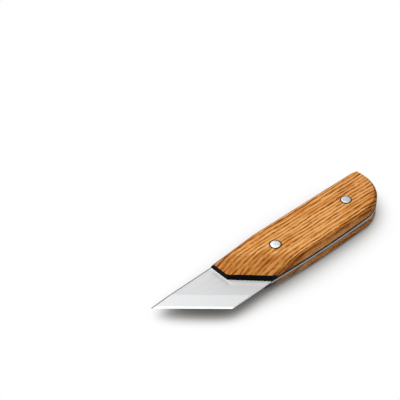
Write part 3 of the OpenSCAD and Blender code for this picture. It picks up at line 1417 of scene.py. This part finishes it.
@dataclass
class Rivet:
    """Two-piece cutler's rivet: a solid pin in a hollow sleeve, each with a slightly crowned head."""

    place: Place
    head_height: float = HEAD_HEIGHT
    rim: float = 0.25
    rim_steps: int = 4
    crown: float = 0.06
    crown_share: float = 0.4
    pin: float = 2.4
    sleeve: float = 4.0
    bore: float = 2.44
    sides: int = 64
    smooth: float = 30.0

    def build(self, half: Half) -> Object:
        """Turns one half from a cylinder: crowned head first, then the shank.

        Args:
            half: half that is made.

        Returns:
            The finished half.
        """
        node = rivet_node(self.place, half)
        low, high = (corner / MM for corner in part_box(node))
        up = 1 if half is Half.PIN else -1
        outer, end = (high.z, low.z) if half is Half.PIN else (low.z, high.z)
        seat = outer - up * self.head_height
        flat = outer - up * self.crown
        radius = (high.x - low.x) / 2
        middle = (low + high) / 2
        bpy.ops.object.select_all(action="DESELECT")
        bpy.ops.mesh.primitive_cylinder_add(
            vertices=self.sides,
            radius=radius * MM,
            depth=abs(flat - seat) * MM,
            location=Vector((middle.x, middle.y, (flat + seat) / 2)) * MM,
        )
        piece = named(f"{node}_turned")
        bpy.ops.object.mode_set(mode="EDIT")
        select_faces(piece, flat)
        bpy.ops.mesh.bevel(offset=self.rim * MM, segments=self.rim_steps, affect="EDGES")
        select_faces(piece, flat)
        bpy.ops.mesh.inset(thickness=radius * self.crown_share * MM)
        bpy.ops.transform.translate(value=(0, 0, up * self.crown * MM))
        shank = self.pin / 2 if half is Half.PIN else self.sleeve / 2
        select_faces(piece, seat)
        bpy.ops.mesh.inset(thickness=(radius - shank) * MM)
        bpy.ops.mesh.extrude_region_move(TRANSFORM_OT_translate={"value": (0, 0, (end - seat) * MM)})
        if half is Half.SLEEVE:
            bpy.ops.mesh.inset(thickness=(self.sleeve - self.bore) / 2 * MM)
            bpy.ops.mesh.extrude_region_move(TRANSFORM_OT_translate={"value": (0, 0, (seat - end) * MM)})
        bpy.ops.mesh.select_all(action="SELECT")
        bpy.ops.mesh.normals_make_consistent(inside=False)
        bpy.ops.object.mode_set(mode="OBJECT")
        bpy.ops.object.shade_smooth_by_angle(angle=math.radians(self.smooth))
        return piece

    def finish(self) -> Material:
        """Makes the aluminium of this rivet, which is drawn darker at the rear.

        Returns:
            The material.
        """
        front = self.place is Place.FRONT
        finish = SandedAluminium(
            name=f"Sanded aluminium, {self.place.value} rivet",
            centre=rivet_centre(self.place),
            dull="#dcdee0" if front else "#b6b9bb",
            bright="#f8f9fa" if front else "#e8eaeb",
            rim=(2.72, 2.88) if front else (2.6, 2.76),
        )
        return finish.material()

    def dress(self, piece: Object, half: Half, material: Material) -> None:
        """Gives one half its aluminium."""
        finish_piece(piece, material, Slot.RIVET, rivet_node(self.place, half))


@dataclass
class Studio:
    """White table under a soft sky that is brightest behind the spine, and a camera over the knife.

    The focal length is in pixels of the square picture, and the table's size and the clip are in metres.
    """

    heading: float = 43.061
    elevation: float = 42.0
    distance: float = 809.25
    aim: Triple = (-1.12, 61.21, 7.5)
    focal: float = 1400.0
    picture: float = 400.0
    sensor: float = 36.0
    clip: float = 0.01
    key: Triple = (-0.27, 0.5, 0.82)
    fill_level: float = 0.1
    key_level: float = 3.35
    key_focus: float = 4.0
    backdrop: Span = (0.25, 0.45)
    white: str = "#ffffff"
    table: float = 8.0

    def light(self) -> None:
        """Adds the sky: a broad key over a low fill, with a white backdrop at its foot."""
        world = bpy.data.worlds.new("Soft studio")
        bpy.context.scene.world = world
        world.use_nodes = True
        tree = world.node_tree
        tree.nodes.clear()
        ray = add_node(tree, "TexCoord", out="Generated")
        toward = Vector(self.key).normalized()
        level = add_node(tree, "VectorMath", {0: ray, 1: toward}, out="Value", operation="DOT_PRODUCT")
        level = add_node(tree, "Math", {0: level, 1: 0.0}, operation="MAXIMUM")
        level = add_node(tree, "Math", {0: level, 1: self.key_focus}, operation="POWER")
        lit = {0: level, 1: self.key_level, 2: self.fill_level}
        level = add_node(tree, "Math", lit, operation="MULTIPLY_ADD")
        rise = add_node(tree, "SeparateXYZ", {0: ray}, out="Z")
        foot = add_node(tree, "MapRange", {"Value": rise, **limits(self.backdrop, FADING)})
        foot = add_node(tree, "Math", {0: foot, 1: seen_rays(tree)}, operation="MULTIPLY")
        level = add_node(tree, "Mix", {0: foot, "A": level, "B": 1.0}, data_type="FLOAT")
        sky = add_node(tree, "Background", {"Color": linear(self.white), "Strength": level})
        add_node(tree, "OutputWorld", {"Surface": sky})

    def floor(self) -> None:
        """Adds the white table."""
        bpy.ops.object.select_all(action="DESELECT")
        bpy.ops.mesh.primitive_plane_add(size=self.table)
        floor = named("floor")
        floor.data.materials.append(MattLaminate().material())

    def camera(self) -> None:
        """Adds the camera at the photograph's angle."""
        turn = math.radians(self.heading)
        rise = math.radians(self.elevation)
        back = Vector((-math.sin(turn) * math.cos(rise), -math.cos(turn) * math.cos(rise), math.sin(rise)))
        bpy.ops.object.camera_add(location=(Vector(self.aim) + back * self.distance) * MM)
        camera = bpy.context.object
        camera.rotation_euler = back.to_track_quat("Z", "Y").to_euler()
        camera.data.sensor_width = self.sensor
        camera.data.lens = self.focal / self.picture * self.sensor
        camera.data.clip_start = self.clip
        bpy.context.scene.camera = camera
        bpy.context.scene.view_settings.view_transform = "Standard"


def main() -> None:
    """Builds and dresses the knife piece by piece, then the studio."""
    logging.basicConfig(level=logging.INFO, format="%(message)s")
    plan = HandlePlan()
    blade = Blade(plan)
    blade.dress(blade.build())
    for side in Side:
        scale = HandleScale(side, plan)
        scale.dress(scale.build())
    for place in Place:
        rivet = Rivet(place)
        aluminium = rivet.finish()
        for half in Half:
            rivet.dress(rivet.build(half), half, aluminium)
    studio = Studio()
    studio.light()
    studio.floor()
    studio.camera()


if __name__ == "__main__":
    main()
